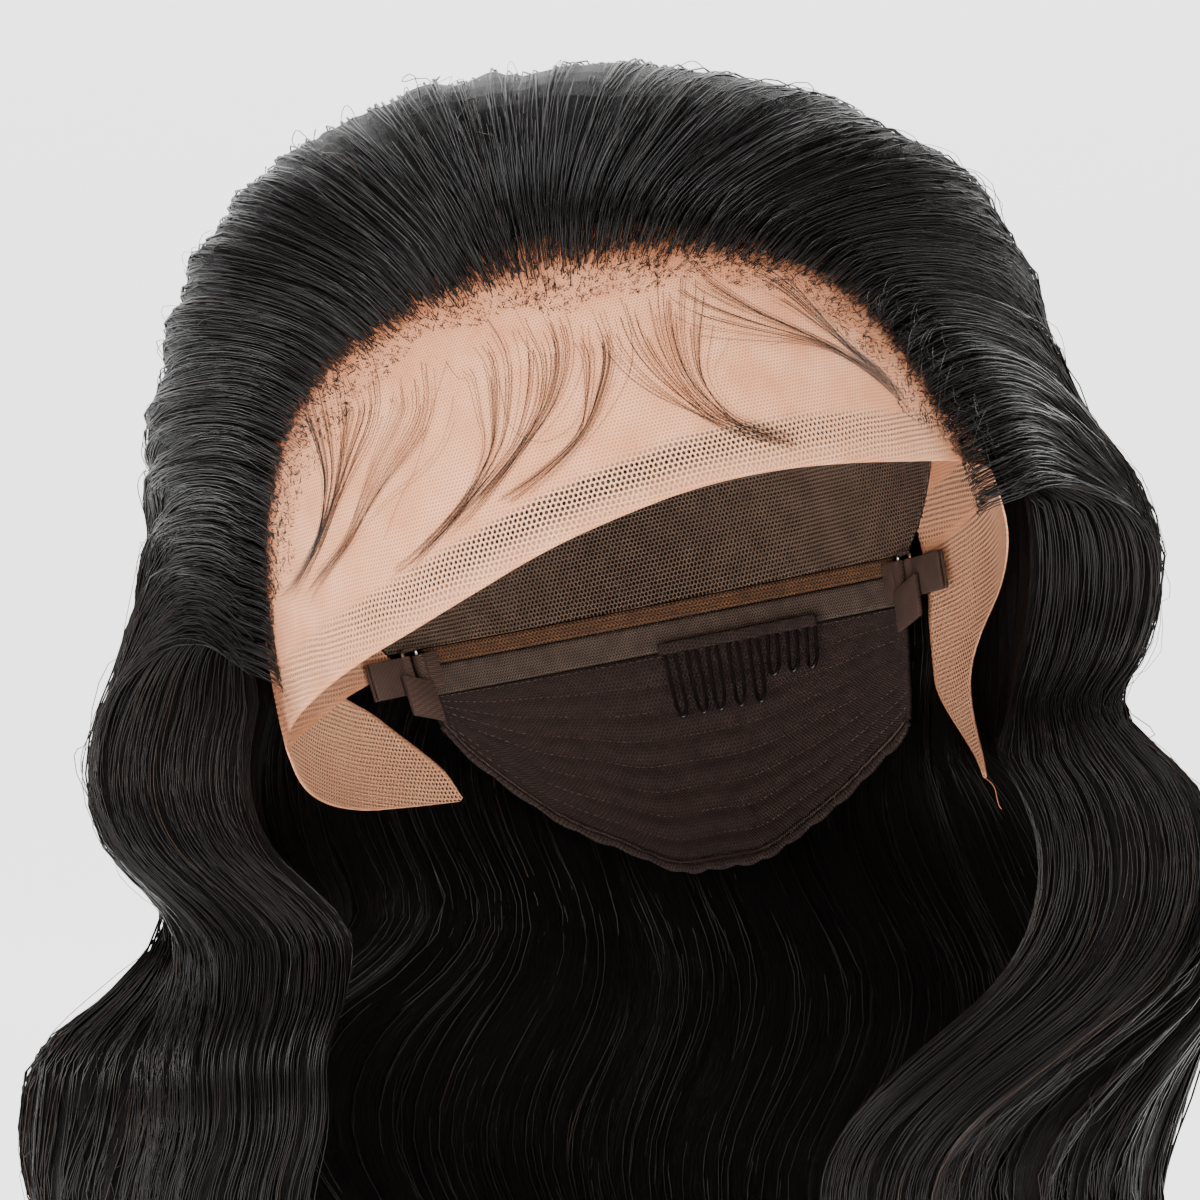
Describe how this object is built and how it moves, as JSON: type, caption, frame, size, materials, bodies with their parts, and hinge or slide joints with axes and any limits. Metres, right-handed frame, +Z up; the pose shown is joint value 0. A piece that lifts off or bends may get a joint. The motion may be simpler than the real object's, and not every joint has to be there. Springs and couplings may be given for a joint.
{
  "type": "lace front wig",
  "caption": "Lace front wig with long dark body-wave hair on a net cap, with lace hairline, ear tabs, elastic band, wefted nape panel, wire comb and strap adjusters.",
  "frame": {"origin": "inner crown of the cap, where the top of a head carries it", "axes": "+Z up as worn, with the hair hanging along -Z; the face opening looks along -Y; +X is to the right in the picture. The cap is tipped about Y, its crown towards -X."},
  "size_m": [0.2801, 0.2279, 0.4098],
  "materials": {
    "lace": "skin-toned hexagonal lace",
    "net": "brown coarse net",
    "tape": "orange-brown seam tape",
    "ribbon": "woven elastic ribbon",
    "weft": "dark wefted cloth, stitched",
    "comb": "black coated wire",
    "ring": "bright wire",
    "strap": "brown woven strap",
    "hair": "glossy near-black hair"
  },
  "bodies": {
    "root": {"lace_front": "lace", "crown_net": "net", "seam_band": "tape", "elastic_band": "ribbon", "weft_panel": "weft", "hem_binding": "weft", "comb_bar": "comb", "comb_wire": "comb", "left_strap": "strap", "left_band_loop": "strap", "left_ring": "ring", "left_strap_tab": "strap", "right_strap": "strap", "right_band_loop": "strap", "right_ring": "ring", "right_strap_tab": "strap", "hair_lock_01": "hair", "hair_lock_02": "hair", "hair_lock_03": "hair", "hair_lock_04": "hair", "hair_lock_05": "hair", "hair_lock_06": "hair", "hair_lock_07": "hair", "hair_lock_08": "hair", "hair_lock_09": "hair", "hair_lock_10": "hair", "hair_lock_11": "hair", "hair_lock_12": "hair", "hair_lock_13": "hair", "hair_lock_14": "hair", "hair_lock_15": "hair", "hair_lock_16": "hair"}
  },
  "joints": []
}
